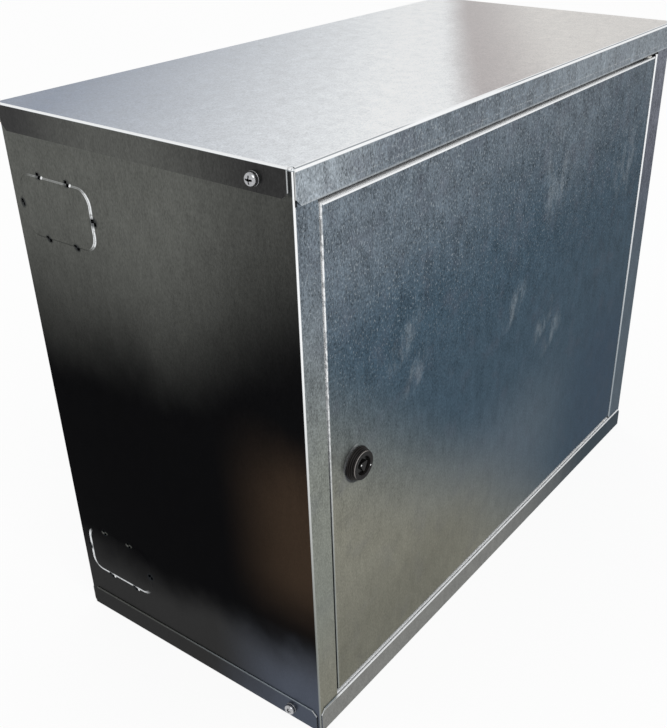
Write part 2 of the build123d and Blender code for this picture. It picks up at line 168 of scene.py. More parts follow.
class Surface:
    """Node tree of one material. Its methods take sockets or plain values and return sockets."""

    def __init__(self, name):
        self.material = bpy.data.materials.new(name)
        self.material.use_nodes = True
        self.tree = self.material.node_tree
        self.tree.nodes.clear()
        self.shader = self.node("ShaderNodeBsdfPrincipled")
        output = self.node("ShaderNodeOutputMaterial")
        self.tree.links.new(self.shader.outputs["BSDF"], output.inputs["Surface"])
        coordinates = self.node("ShaderNodeTexCoord")
        self.place = coordinates.outputs["Object"]
        self.normal = coordinates.outputs["Normal"]

    def node(self, kind, **settings):
        node = self.tree.nodes.new(kind)
        for key, value in settings.items():
            setattr(node, key, value)
        return node

    def feed(self, socket, value):
        if isinstance(value, bpy.types.NodeSocket):
            self.tree.links.new(value, socket)
        else:
            socket.default_value = value

    def math(self, operation, first, second=0.0):
        node = self.node("ShaderNodeMath", operation=operation)
        self.feed(node.inputs[0], first)
        self.feed(node.inputs[1], second)
        return node.outputs[0]

    def all_of(self, *masks):
        """Product of masks."""
        product = masks[0]
        for mask in masks[1:]:
            product = self.math("MULTIPLY", product, mask)
        return product

    def any_of(self, *masks):
        """Greatest of masks."""
        most = masks[0]
        for mask in masks[1:]:
            most = self.math("MAXIMUM", most, mask)
        return most

    def turned_off(self, mask):
        """1 less a mask."""
        return self.math("SUBTRACT", 1.0, mask)

    def distance(self, first, second):
        """Length of a step whose two parts stand at a right angle."""
        return self.math("SQRT", self.math("ADD", self.all_of(first, first), self.all_of(second, second)))

    def vector(self, operation, first, second):
        node = self.node("ShaderNodeVectorMath", operation=operation)
        self.feed(node.inputs[0], first)
        self.feed(node.inputs[1], second)
        return node.outputs[0]

    def parts(self, vector):
        node = self.node("ShaderNodeSeparateXYZ")
        self.feed(node.inputs[0], vector)
        return node.outputs[0], node.outputs[1], node.outputs[2]

    def rise(self, value, low, high, smooth=True):
        """0 below low and 1 above high. With low above high it falls instead."""
        kind = "SMOOTHSTEP" if smooth else "LINEAR"
        node = self.node("ShaderNodeMapRange", interpolation_type=kind)
        self.feed(node.inputs["Value"], value)
        node.inputs["From Min"].default_value = min(low, high)
        node.inputs["From Max"].default_value = max(low, high)
        if low > high:
            return self.turned_off(node.outputs["Result"])
        return node.outputs["Result"]

    def band(self, value, low, high, soft):
        """1 between low and high, with soft borders."""
        past_low = self.rise(value, low - soft, low + soft)
        before_high = self.rise(value, high + soft, high - soft)
        return self.all_of(past_low, before_high)

    def spread(self, value, low, high):
        """value from 0..1 to low..high, where low and high may be sockets."""
        node = self.node("ShaderNodeMapRange", clamp=False)
        self.feed(node.inputs["Value"], value)
        self.feed(node.inputs["To Min"], low)
        self.feed(node.inputs["To Max"], high)
        return node.outputs["Result"]

    def blot(self, first, first_middle, first_reach, second, second_middle, second_reach):
        """Soft oval patch round a point of a face."""
        a = self.math("DIVIDE", self.math("SUBTRACT", first, first_middle), first_reach)
        b = self.math("DIVIDE", self.math("SUBTRACT", second, second_middle), second_reach)
        square = self.math("ADD", self.math("MULTIPLY", a, a), self.math("MULTIPLY", b, b))
        return self.rise(square, 1.0, 0.0)

    def noise(self, size, stretch=(1, 1, 1), detail=3.0, roughness=0.55, shift=(0, 0, 0)):
        """Noise from 0 to 1, with lumps about size metres across, longer along each axis by its stretch."""
        scaled = self.vector("MULTIPLY", self.place, tuple(1 / (size * s) for s in stretch))
        moved = self.vector("ADD", scaled, shift)
        node = self.node("ShaderNodeTexNoise")
        self.feed(node.inputs["Vector"], moved)
        node.inputs["Scale"].default_value = 1.0
        node.inputs["Detail"].default_value = detail
        node.inputs["Roughness"].default_value = roughness
        return node.outputs["Fac"]

    def mix(self, share, first, second):
        node = self.node("ShaderNodeMix", data_type="RGBA")
        self.feed(node.inputs["Factor"], share)
        self.feed(node.inputs["A"], colour(first))
        self.feed(node.inputs["B"], colour(second))
        return node.outputs["Result"]

    def bright(self, base, factor):
        """base times a number."""
        node = self.node("ShaderNodeVectorMath", operation="SCALE")
        self.feed(node.inputs[0], base)
        self.feed(node.inputs["Scale"], factor)
        return node.outputs[0]

    def bump(self, height, distance, strength):
        node = self.node("ShaderNodeBump")
        node.inputs["Strength"].default_value = strength
        node.inputs["Distance"].default_value = distance
        self.feed(node.inputs["Height"], height)
        self.tree.links.new(node.outputs["Normal"], self.shader.inputs["Normal"])

    def finish(self, colour_value, roughness, metallic=0.0, **constants):
        self.feed(self.shader.inputs["Base Color"], colour(colour_value))
        self.feed(self.shader.inputs["Roughness"], roughness)
        self.feed(self.shader.inputs["Metallic"], metallic)
        for key, value in constants.items():
            self.shader.inputs[key.replace("_", " ")].default_value = value
        return self.material


def colour(value):
    """A three-part colour with its alpha. Sockets pass through."""
    return (*value, 1.0) if isinstance(value, tuple) and len(value) == 3 else value


# Tones of the galvanised sheet, as linear colours: most are painted reflection, painted highlight or painted
# shade
NAVY = (0.060, 0.096, 0.130)
INK = (0.048, 0.079, 0.117)
MIST = (0.152, 0.182, 0.212)
OLIVE = (0.236, 0.233, 0.192)
MOSSY = (0.192, 0.190, 0.155)
STEEL = (0.106, 0.140, 0.172)
PLUM = (0.125, 0.130, 0.165)
HAZE = (0.330, 0.370, 0.400)
PEWTER = (0.235, 0.248, 0.220)
PEARL = (0.310, 0.350, 0.385)
PALE_GREY = (0.250, 0.252, 0.240)
TEAL = (0.048, 0.070, 0.088)
LILAC = (0.200, 0.212, 0.250)
SHADE = (0.0045, 0.0045, 0.005)
UMBER = (0.042, 0.028, 0.019)
MOSS = (0.112, 0.115, 0.106)
DARK_GREY = (0.034, 0.034, 0.034)
BLUE_GREY = (0.082, 0.094, 0.122)
SILVER = (0.960, 0.985, 1.000)
DUSK = (0.270, 0.315, 0.400)
TAUPE = (0.500, 0.460, 0.455)
BEIGE = (0.760, 0.735, 0.705)
GLINT = (0.960, 0.975, 0.985)
PALE = (0.550, 0.570, 0.580)
BLEAK = (0.300, 0.315, 0.295)
INSIDE = (0.300, 0.315, 0.325)
# Painted shade for gaps, returns, notches and bends
GAP_SHADE = (0.020, 0.022, 0.025)

# Tones of the small pieces, as linear colours, among them painted shade and painted highlights
ZINC = (0.42, 0.43, 0.44)
CAM_STEEL = (0.50, 0.50, 0.48)
SCREW_DULL = (0.25, 0.25, 0.26)
SCREW_BRIGHT = (0.62, 0.63, 0.65)
RECESS_SHADE = (0.012, 0.012, 0.013)
PLASTIC_DEEP = (0.002, 0.0018, 0.0018)
PLASTIC_SOFT = (0.005, 0.0045, 0.0042)
RIB_LIGHT = (0.020, 0.0175, 0.0165)
RIM_LIGHT = (0.24, 0.22, 0.21)
LACQUER_DEEP = (0.003, 0.003, 0.003)
LACQUER_SOFT = (0.008, 0.0078, 0.0075)
NYLON_DULL = (0.66, 0.65, 0.60)
NYLON_BRIGHT = (0.80, 0.79, 0.75)


class Sheet(Surface):
    """Galvanised sheet, whose tone depends on which way a face looks and on where it is: painted reflection
    and painted shade.
    """

    def __init__(self, name):
        super().__init__(name)
        self.x, self.y, self.z = self.parts(self.place)
        self.nx, self.ny, self.nz = self.parts(self.normal)
        self.across = self.rise(self.x, LEFT, RIGHT, smooth=False)
        self.inward = self.rise(self.y, LID_FRONT, LID_BACK, smooth=False)
        self.upward = self.rise(self.z, BOTTOM, TOP, smooth=False)
        self.cloud = self.math("SUBTRACT", self.noise(0.15, detail=4.0), 0.5)
        flatness = self.any_of(*(self.math("ABSOLUTE", n) for n in (self.nx, self.ny, self.nz)))
        self.bent = self.rise(flatness, 0.985, 0.94)
        self.forward = self.math("MULTIPLY", self.ny, -1.0)
        self.leftward = self.math("MULTIPLY", self.nx, -1.0)
        self.downward = self.math("MULTIPLY", self.nz, -1.0)

    def drift(self, value, amount):
        """A place along the box, pushed to and fro by the clouds."""
        return self.math("ADD", value, self.math("MULTIPLY", self.cloud, amount))

    def door_tone(self):
        """Painted reflection: navy, paler above, olive grey in the lower left; with smears, and a painted
        gleam and painted shadow round the lock.
        """
        up = self.drift(self.upward, 0.30)
        side = self.drift(self.across, -0.30)
        corner = self.math("ADD", up, side)
        tone = self.mix(self.rise(up, 0.66, 0.97), NAVY, MIST)
        low_middle = self.all_of(self.rise(self.upward, 0.46, 0.24), self.rise(self.across, 0.80, 0.52))
        tone = self.mix(low_middle, tone, STEEL)
        tone = self.mix(self.rise(corner, 0.80, 0.44), tone, OLIVE)
        foot = self.all_of(self.rise(self.upward, 0.30, 0.14), self.rise(self.across, 0.50, 0.25))
        tone = self.mix(foot, tone, MOSSY)
        right = self.all_of(self.rise(self.across, 0.62, 0.88), self.rise(self.upward, 0.55, 0.25))
        tone = self.mix(right, tone, INK)
        slide = self.math("SUBTRACT", self.drift(self.across, 0.1), self.math("MULTIPLY", self.upward, 0.5))
        smears = self.any_of(
            self.blot(self.across, 0.60, 0.06, self.upward, 0.80, 0.13),
            self.blot(self.across, 0.86, 0.06, self.upward, 0.74, 0.10),
            *(self.blot(slide, across - 0.5 * up, 0.030, self.upward, up, 0.055) for across, up in SMEARS),
        )
        streaks = self.rise(self.noise(0.014, stretch=(1, 1, 2.5), detail=5.0, roughness=0.7), 0.42, 0.68)
        tone = self.mix(self.all_of(smears, streaks, 0.40), tone, HAZE)
        # Painted highlight in a ring on the lock's upper left, painted shadow in a ring on its lower left
        away = self.math("SUBTRACT", self.x, LOCK.x)
        above = self.math("SUBTRACT", self.z, LOCK.z)
        ring = self.distance(away, above)
        aside = self.math("DIVIDE", self.math("SUBTRACT", above, away), ring)
        gleam = self.all_of(self.band(ring, 14.2 * MM, 17.4 * MM, 0.8 * MM), self.rise(aside, 0.80, 1.38))
        tone = self.mix(self.all_of(gleam, 0.95), tone, PALE)
        below = self.math("DIVIDE", self.math("ADD", above, away), ring)
        shadow = self.all_of(self.band(ring, 13.0 * MM, 15.8 * MM, 0.9 * MM), self.rise(below, -0.3, -1.1))
        return self.mix(self.all_of(shadow, 0.85), tone, GAP_SHADE)

    def stile_tone(self):
        """Painted reflection on the stiles. Left stile: mist above, pewter and olive below. Right stile:
        lilac above, plum and steel below.
        """
        left = self.mix(self.rise(self.drift(self.upward, 0.2), 0.92, 0.42), MIST, PEWTER)
        left = self.mix(self.rise(self.upward, 0.30, 0.08), left, OLIVE)
        right = self.mix(self.rise(self.drift(self.upward, 0.2), 0.95, 0.60), LILAC, PLUM)
        right = self.mix(self.rise(self.upward, 0.80, 0.45), right, STEEL)
        return self.mix(self.rise(self.across, 0.45, 0.55), left, right)

    def left_tone(self):
        """Painted reflection and shade on the left side: near black, moss grey above, umber near the front,
        dark grey and blue grey below.
        """
        up = self.drift(self.upward, 0.16)
        edge = self.math("ADD", up, self.math("MULTIPLY", self.math("MINIMUM", self.inward, 0.5), 0.35))
        depth = self.spread(self.rise(self.inward, 0.10, 0.40), 0.62, 1.0)
        tone = self.mix(self.all_of(self.rise(edge, 0.70, 1.05), depth), SHADE, MOSS)
        umber = self.all_of(self.rise(self.inward, 0.34, 0.04), self.band(up, 0.26, 0.54, 0.09))
        tone = self.mix(umber, tone, UMBER)
        tone = self.mix(self.rise(up, 0.21, 0.11), tone, DARK_GREY)
        low_front_reflection = self.all_of(self.rise(self.inward, 0.42, 0.08), self.rise(up, 0.21, 0.08))
        return self.mix(low_front_reflection, tone, BLUE_GREY)

    def top_tone(self):
        """Painted reflection on the top: dusky at the left rear, silver in the middle, taupe and then beige
        right of a soft line.
        """
        slant = self.math("SUBTRACT", self.across, self.math("MULTIPLY", self.inward, 0.735))
        slant = self.drift(slant, 0.06)
        tone = self.mix(self.rise(slant, -0.62, 0.16, smooth=False), DUSK, SILVER)
        beige_side = self.mix(self.rise(slant, 0.36, 0.62), TAUPE, BEIGE)
        return self.mix(self.rise(slant, 0.26, 0.37), tone, beige_side)

    def plain_tone(self):
        """Sides that the photograph doesn't show, and the inside."""
        return self.mix(self.rise(self.drift(self.upward, 0.5), 0.1, 0.9), STEEL, INSIDE)

    def off(self, value, middle):
        """Distance from a place along one axis."""
        return self.math("ABSOLUTE", self.math("SUBTRACT", value, middle))

    def mark(self, y, z, reach):
        """Soft oval patch on the sides, at a depth and a height."""
        return self.blot(self.y, y, reach[0], self.z, z, reach[1])

    def knockouts(self, tone):
        """Painted highlights on the slopes, painted shade in the notches and painted glints by the ties of
        the pressed knock-outs in both sides.
        """
        walls = self.rise(self.math("ABSOLUTE", self.nx), 0.6, 0.8)
        for level, is_upper in ((KNOCKOUT_HIGH, True), (KNOCKOUT_LOW, False)):
            along = self.math("SUBTRACT", self.y, KNOCKOUT_Y)
            above = self.math("SUBTRACT", self.z, level)
            past_y = self.math("SUBTRACT", self.off(self.y, KNOCKOUT_Y), KNOCKOUT_HALF_Y - KNOCKOUT_CORNER)
            past_z = self.math("SUBTRACT", self.off(self.z, level), KNOCKOUT_HALF_Z - KNOCKOUT_CORNER)
            out_y = self.math("MAXIMUM", past_y, 0.0)
            out_z = self.math("MAXIMUM", past_z, 0.0)
            inner = self.math("MINIMUM", self.math("MAXIMUM", past_y, past_z), 0.0)
            edge = self.math("ADD", self.distance(out_y, out_z), inner)
            edge = self.math("SUBTRACT", edge, KNOCKOUT_CORNER)
            front = self.rise(along, -0.70 * KNOCKOUT_HALF_Y, -0.92 * KNOCKOUT_HALF_Y)
            rear = self.rise(along, 0.80 * KNOCKOUT_HALF_Y, 0.95 * KNOCKOUT_HALF_Y)
            top = self.rise(above, 0.70 * KNOCKOUT_HALF_Z, 0.92 * KNOCKOUT_HALF_Z)
            foot = self.rise(above, -0.70 * KNOCKOUT_HALF_Z, -0.92 * KNOCKOUT_HALF_Z)
            rough = self.rise(self.noise(3 * MM, detail=3.0), 0.30, 0.50)
            if is_upper:
                away = self.rise(along, 0.85 * KNOCKOUT_HALF_Y, 0.45 * KNOCKOUT_HALF_Y)
                lit = self.any_of(front, self.all_of(top, away, 0.26))
                lit = self.all_of(lit, self.turned_off(self.all_of(foot, 0.8)))
                painted_glint_row = 1
            else:
                away = self.rise(along, -1.0 * KNOCKOUT_HALF_Y, -0.65 * KNOCKOUT_HALF_Y)
                lit = self.any_of(self.all_of(rear, self.turned_off(top)), self.all_of(foot, away, 0.8))
                painted_glint_row = -1
            narrow, wide = (1.4 * MM, 2.5 * MM) if is_upper else (2.8 * MM, 3.8 * MM)
            width = self.spread(self.any_of(front, rear), narrow, wide)
            share = self.math("DIVIDE", edge, width)
            ring = self.band(share, -1.0, -0.08, 0.12)
            double = self.spread(self.band(share, -0.68, -0.42, 0.10), 1.0, 0.35 if is_upper else 0.8)
            painted_light_share = self.spread(rough, 0.35, 0.9) if is_upper else self.spread(rough, 0.65, 1.0)
            # Painted highlight along the slopes that face the light
            tone = self.mix(self.all_of(ring, lit, walls, painted_light_share, double), tone, SILVER)
            notch_shades = []
            painted_glints = []
            dashes = []
            for side in (-1, 1):
                for row in (-1, 1):
                    tie_y = KNOCKOUT_Y + side * KNOCKOUT_TIE
                    tie_z = level + row * KNOCKOUT_HALF_Z
                    notch_shade = self.mark(tie_y, tie_z, TIE_SHADE)
                    if row == 1 and is_upper:
                        notch_shade = self.all_of(notch_shade, 0.7)
                    elif row == 1:
                        dashes.append(self.mark(tie_y, tie_z, TIE_DASH))
                        notch_shade = self.all_of(notch_shade, 0.3)
                    notch_shades.append(notch_shade)
                    if row == painted_glint_row:
                        painted_glints.append(self.mark(tie_y + GLINT_SHIFT[0], tie_z + GLINT_SHIFT[1], TIE_GLINT))
                notch_shades.append(self.mark(KNOCKOUT_Y + side * KNOCKOUT_HALF_Y, level, END_SHADE))
            sloped = self.rise(self.math("ABSOLUTE", self.nx), 0.2, 0.4)
            # Painted shade in the notches, painted glints by the ties, grey dashes on the slopes
            tone = self.mix(self.all_of(self.any_of(*notch_shades), sloped, 0.85), tone, GAP_SHADE)
            tone = self.mix(self.all_of(self.any_of(*painted_glints), walls), tone, GLINT)
            if dashes:
                tone = self.mix(self.all_of(self.any_of(*dashes), sloped), tone, MOSS)
        return tone

    def facing(self, tone, direction, face_tone):
        """tone, with another on the faces that look one way."""
        return self.mix(self.rise(direction, 0.5, 0.8), tone, face_tone)

    def grained(self, tone):
        """Spangle, rolling streaks and bright specks, stronger towards the top."""
        height = self.any_of(self.rise(self.upward, 0.20, 0.95), self.rise(self.nz, 0.5, 0.8))
        front_or_top = self.any_of(self.rise(self.ny, -0.5, -0.8), self.rise(self.nz, 0.5, 0.8))
        power = self.math("MULTIPLY", self.spread(height, 0.30, 1.0), self.spread(front_or_top, 0.35, 1.0))
        power = self.math("MULTIPLY", power, self.spread(self.rise(self.nz, 0.5, 0.8), 1.0, 0.28))
        grain = self.noise(1.1 * MM, stretch=(1, 1, 2.2), detail=2.0, roughness=0.7)
        streak = self.noise(3.0 * MM, stretch=(1, 1, 6.0), detail=3.0, roughness=0.6)
        mottle = self.noise(13 * MM, stretch=(1, 1, 1.6), detail=4.0, roughness=0.65)
        total = self.math("ADD", self.spread(grain, -1.5, 1.5), self.spread(streak, -0.5, 0.5))
        total = self.math("ADD", total, self.spread(mottle, -0.7, 0.7))
        gain = self.math("ADD", 1.0, self.math("MULTIPLY", total, power))
        tone = self.bright(tone, self.math("MAXIMUM", gain, 0.25))
        tint = self.noise(24 * MM, detail=2.0, shift=(2, 9, 4))
        in_front = self.rise(self.forward, 0.5, 0.8)
        tone = self.mix(self.all_of(self.rise(tint, 0.5, 0.75), power, in_front, 0.30), tone, PLUM)
        # Bright specks on the upper front: the spangle, brightened as painted glints
        speck = self.noise(1.7 * MM, stretch=(1, 1, 1.4), detail=1.0, shift=(7, 3, 1))
        upper = self.rise(self.upward, 0.45, 0.85)
        tone = self.mix(self.all_of(self.rise(speck, 0.59, 0.72), power, in_front, upper, 0.8), tone, HAZE)
        self.bump(self.math("ADD", grain, self.math("MULTIPLY", mottle, 2.0)), 0.04 * MM, 0.4)
        self.mottle = mottle
        return tone

    def sheet_finish(self, tone, edge_tint=EDGE_TINT, painted_light_share=0.0):
        """Its last argument is the share, under painted highlights, that scatters light instead of mirroring
        it.
        """
        roughness = self.spread(self.mottle, 0.24, 0.42)
        return self.finish(tone, roughness, self.turned_off(painted_light_share), Specular_Tint=edge_tint)


def shell_sheet():
    """Shell: stiles, sides and back, with its knock-outs' slopes."""
    s = Sheet("galvanised_shell")
    tone = s.facing(s.plain_tone(), s.all_of(s.forward, s.rise(s.y, 0.0, -0.1)), s.stile_tone())
    tone = s.facing(tone, s.all_of(s.leftward, s.rise(s.x, 0.0, -0.1)), s.left_tone())
    tone = s.grained(tone)
    # Painted shade on the returns inside the gap round the door, then painted light on the top edge under the
    # cover
    past_front = s.rise(s.y, FRONT + 0.9 * MM, FRONT + 1.6 * MM)
    before_inside = s.rise(s.y, FRONT + 25 * MM, FRONT + 24 * MM)
    past_left = s.rise(s.x, LEFT + 20 * MM, LEFT + 22 * MM)
    before_right = s.rise(s.x, RIGHT - 20 * MM, RIGHT - 22 * MM)
    tone = s.mix(s.all_of(past_front, before_inside, past_left, before_right), tone, GAP_SHADE)
    tone = s.mix(s.rise(s.z, TOP - 2.6 * MM, TOP - 2.4 * MM), tone, PALE)
    # Bends: painted highlights, bright at the left front corner, fading downwards, and at the right of the
    # opening
    fade = s.rise(s.upward, 0.15, 0.80)
    corner = s.all_of(s.rise(s.leftward, 0.30, 0.50), s.rise(s.forward, 0.30, 0.50), s.rise(s.y, 0.0, -0.1))
    tone = s.mix(s.all_of(corner, s.spread(fade, 0.7, 1.0)), tone, s.mix(fade, BLEAK, GLINT))
    right_return = s.all_of(s.rise(s.leftward, 0.35, 0.5), s.rise(s.x, 0.1, 0.2), s.rise(s.forward, 0.1, 0.2))
    tone = s.mix(right_return, tone, s.mix(fade, HAZE, GLINT))
    # Painted shade in a slit at the front left corner under the cover, and in a band beside it on the left
    # side
    under_cover = s.rise(s.z, SKIRT_END - 0.2 * MM, SKIRT_END + 0.2 * MM)
    slit = s.all_of(under_cover, s.rise(s.forward, 0.80, 0.90), s.rise(s.x, LEFT + 4 * MM, LEFT + 3.5 * MM))
    tone = s.mix(slit, tone, GAP_SHADE)
    beside = s.all_of(s.rise(s.z, TOP - 19 * MM, TOP - 17 * MM), s.rise(s.leftward, 0.85, 0.95), 0.6)
    beside = s.all_of(beside, s.rise(s.y, LID_FRONT + 6 * MM, LID_FRONT + 5 * MM))
    tone = s.mix(beside, tone, GAP_SHADE)
    # The left stile's inner bend glitters in beads: a painted highlight
    inner_bend = s.all_of(s.rise(s.nx, 0.25, 0.40), s.rise(s.x, -0.1, -0.2), s.rise(s.forward, 0.4, 0.6))
    beads = s.rise(s.noise(2.0 * MM, stretch=(1, 1, 1.8), detail=2.0), 0.38, 0.54)
    glitter = s.all_of(inner_bend, s.rise(s.upward, 0.30, 0.70))
    tone = s.mix(glitter, tone, s.mix(beads, PEARL, GLINT))
    tone = s.knockouts(tone)
    return s.sheet_finish(tone, painted_light_share=s.all_of(glitter, 0.85))


def door_sheet():
    """Door: painted reflection on its face, a painted highlight on its top edge and painted glints in beads
    on its left edge.
    """
    s = Sheet("galvanised_door")
    tone = s.facing(s.plain_tone(), s.forward, s.door_tone())
    tone = s.grained(tone)
    # Painted shade on the flanges behind the face, except where they look back
    rear = s.mix(s.rise(s.mottle, 0.3, 0.7), STEEL, INSIDE)
    flange = s.mix(s.rise(s.ny, 0.5, 0.8), s.mix(0.5, GAP_SHADE, INSIDE), rear)
    tone = s.mix(s.rise(s.y, FRONT + 0.8 * MM, FRONT + 0.95 * MM), tone, flange)
    # Painted highlight along the top bend, then painted glints in beads on the left edge
    rim = s.rise(s.forward, -0.1, 0.1)
    top = s.all_of(s.rise(s.nz, 0.08, 0.18), rim)
    tone = s.mix(top, tone, GLINT)
    beads = s.rise(s.noise(2.0 * MM, stretch=(1, 1, 1.8), detail=2.0), 0.40, 0.56)
    fade = s.rise(s.upward, 0.28, 0.72)
    left = s.all_of(s.rise(s.leftward, 0.45, 0.65), s.rise(s.y, FRONT + 6 * MM, FRONT + 3 * MM))
    left = s.all_of(left, s.any_of(fade, s.rise(s.y, FRONT + 1.2 * MM, FRONT + 0.8 * MM)))
    share = s.spread(fade, 0.8, s.spread(beads, 0.35, 1.0))
    tone = s.mix(s.all_of(left, share), tone, s.mix(fade, BLEAK, GLINT))
    # Painted shade on the right bend and painted light on the bottom bend
    right = s.all_of(s.bent, rim, s.rise(s.nx, 0.1, 0.25))
    tone = s.mix(s.all_of(right, 0.5), tone, GAP_SHADE)
    bottom = s.all_of(s.rise(s.downward, 0.15, 0.30), s.rise(s.forward, 0.3, 0.5))
    tone = s.mix(s.all_of(bottom, s.spread(s.rise(s.across, 0.1, 0.9), 0.55, 1.0)), tone, PALE)
    # The door's upper flange, seen in the gap above it, in painted light
    shallow = s.rise(s.y, FRONT + 8 * MM, FRONT + 6 * MM)
    above = s.all_of(s.rise(s.nz, 0.7, 0.9), shallow, s.rise(s.across, 0.95, 0.80))
    tone = s.mix(above, tone, GLINT)
    painted_light_share = s.any_of(s.all_of(above, 0.9), s.all_of(left, fade, 0.85), s.all_of(bottom, 0.6))
    return s.sheet_finish(tone, painted_light_share=painted_light_share)


def cover_sheet():
    """Top cover: its own bright top and its skirts in painted reflection, a front skirt with a beaded line,
    and painted highlights on its cut ends and bends.
    """
    s = Sheet("galvanised_cover")
    # Painted reflection on the front and left skirts
    skirt = s.mix(s.rise(s.drift(s.across, 0.1), 0.20, 0.03), MIST, PEARL)
    skirt = s.mix(s.rise(s.drift(s.across, 0.4), 0.40, 0.75), skirt, s.mix(0.35, MIST, PEARL))
    middle = s.all_of(s.rise(s.drift(s.inward, 0.2), 0.10, 0.50), s.rise(s.drift(s.inward, 0.2), 0.95, 0.60))
    side = s.mix(s.spread(middle, 0.0, 0.75), DARK_GREY, MOSS)
    tone = s.facing(s.plain_tone(), s.forward, skirt)
    tone = s.facing(tone, s.leftward, side)
    lid = s.all_of(s.rise(s.nz, 0.5, 0.8), s.rise(s.z, TOP - 1.5 * MM, TOP - 1.0 * MM))
    tone = s.mix(lid, tone, s.top_tone())
    tone = s.grained(tone)
    beads = s.rise(s.noise(2.0 * MM, detail=1.0, shift=(5, 0, 0)), 0.42, 0.60)
    on_skirt = s.rise(s.forward, 0.9, 0.97)
    line = s.all_of(on_skirt, s.band(s.z, SKIRT_END + 5.2 * MM, SKIRT_END + 5.8 * MM, 0.25 * MM), beads)
    tone = s.mix(s.all_of(line, s.spread(s.across, 0.25, 0.7)), tone, PALE)
    hem = s.all_of(on_skirt, s.rise(s.z, SKIRT_END + 1.6 * MM, SKIRT_END + 0.6 * MM))
    tone = s.mix(s.all_of(hem, 0.35), tone, PALE)
    # Cut ends of the skirts at the corner, in painted highlight
    sideways = s.rise(s.math("ABSOLUTE", s.nx), 0.8, 0.95)
    front_cut = s.all_of(sideways, s.rise(s.y, LID_FRONT + 1.05 * MM, LID_FRONT + 0.95 * MM))
    set_back = s.rise(s.y, LID_FRONT + 3 * MM, LID_FRONT + 3.5 * MM)
    side_cut = s.all_of(on_skirt, set_back, s.rise(s.y, 0.0, -0.01))
    tone = s.mix(s.all_of(s.any_of(front_cut, side_cut), 0.8), tone, PALE)
    near_corner = s.rise(s.y, LID_FRONT + 5.6 * MM, LID_FRONT + 5.2 * MM)
    side_end = s.all_of(s.rise(s.leftward, 0.9, 0.97), near_corner)
    tone = s.mix(s.all_of(side_end, 0.8), tone, PALE)
    # Bends: painted highlights, a double line along the front, single for a stretch left of its middle
    ends = s.turned_off(s.band(s.across, 0.20, 0.42, 0.03))
    painted_dark_band = s.all_of(s.band(s.nz, 0.50, 0.80, 0.06), ends, s.rise(s.forward, 0.1, 0.2), 0.75)
    shine = s.mix(painted_dark_band, GLINT, MIST)
    shine = s.mix(s.all_of(s.rise(s.leftward, 0.1, 0.3), s.rise(s.nz, 0.45, 0.15)), shine, HAZE)
    brow = s.all_of(s.rise(s.forward, 0.5, 0.7), s.rise(s.z, TOP - 3.1 * MM, TOP - 2.5 * MM))
    tone = s.mix(s.any_of(s.bent, brow), tone, shine)
    return s.sheet_finish(tone, edge_tint=COVER_EDGE_TINT)


def tray_sheet():
    """Bottom tray: painted reflection on its faces, painted highlights on its edges above and painted shade
    on its bends below.
    """
    s = Sheet("galvanised_tray")
    # Painted reflection on the front and left sides
    front = s.mix(s.rise(s.drift(s.across, 0.2), 0.45, 0.90), PALE_GREY, TEAL)
    tone = s.facing(s.plain_tone(), s.forward, front)
    tone = s.facing(tone, s.leftward, s.mix(s.rise(s.drift(s.inward, 0.4), 0.45, 0.10), DARK_GREY, BLUE_GREY))
    tone = s.grained(tone)
    # Painted highlights on the upturned edges, white along the opening, and on the front brim
    lip = s.all_of(s.rise(s.nz, 0.6, 0.7), s.rise(s.z, TRAY_TOP - 8 * MM, TRAY_TOP - 7 * MM))
    along_front = s.rise(s.y, LID_FRONT + 1.6 * MM, LID_FRONT + 1.1 * MM)
    past_stile = s.rise(s.x, LEFT + 20 * MM, LEFT + 26 * MM)
    by_opening = s.all_of(along_front, past_stile, s.rise(s.nz, 0.8, 0.95))
    side_lip = s.mix(s.rise(s.inward, 0.10, 0.70), PEARL, MOSS)
    tone = s.mix(lip, tone, s.mix(by_opening, side_lip, GLINT))
    brim = s.all_of(s.rise(s.forward, 0.9, 0.97), s.rise(s.z, TRAY_TOP - 1.8 * MM, TRAY_TOP - 1.4 * MM))
    below_edge = s.band(s.z, TRAY_TOP - 3.7 * MM, TRAY_TOP - 2 * MM, 0.2 * MM)
    side_brim = s.all_of(s.rise(s.leftward, 0.9, 0.97), below_edge)
    brim_share = s.all_of(brim, s.spread(past_stile, 0.2, 1.0))
    tone = s.mix(s.any_of(brim_share, s.all_of(side_brim, 0.06)), tone, GLINT)
    # Painted shade on the bends below, painted light on the bends that face up
    tone = s.mix(s.all_of(s.bent, s.rise(s.downward, 0.1, 0.3)), tone, s.mix(0.35, GAP_SHADE, INSIDE))
    side_bends = s.all_of(s.bent, s.rise(s.z, 2 * MM, 3 * MM))
    tone = s.mix(s.all_of(side_bends, s.rise(s.nz, 0.1, 0.3)), tone, PALE)
    return s.sheet_finish(tone, painted_light_share=s.all_of(lip, 0.9))


def rail_sheet():
    """Header and sill behind the shell, darkened by painted shade, with a pale sill shelf in painted light.
    """
    s = Sheet("galvanised_rail")
    tone = s.mix(0.35, s.plain_tone(), GAP_SHADE)
    tone = s.grained(tone)
    shelf = s.all_of(s.rise(s.nz, 0.4, 0.6), s.rise(s.upward, 0.5, 0.4))
    tone = s.mix(shelf, tone, GLINT)
    return s.sheet_finish(tone, painted_light_share=s.all_of(shelf, 0.85))


def zinc(name, base=ZINC):
    """Zinc plate of the small pieces, with dull and bright spots."""
    s = Surface(name)
    spots = s.noise(0.8 * MM, detail=3.0)
    tone = s.mix(spots, tuple(0.62 * c for c in base), tuple(1.45 * c for c in base))
    s.bump(spots, 0.02 * MM, 0.4)
    return s.finish(tone, s.spread(spots, 0.18, 0.36), metallic=1.0)


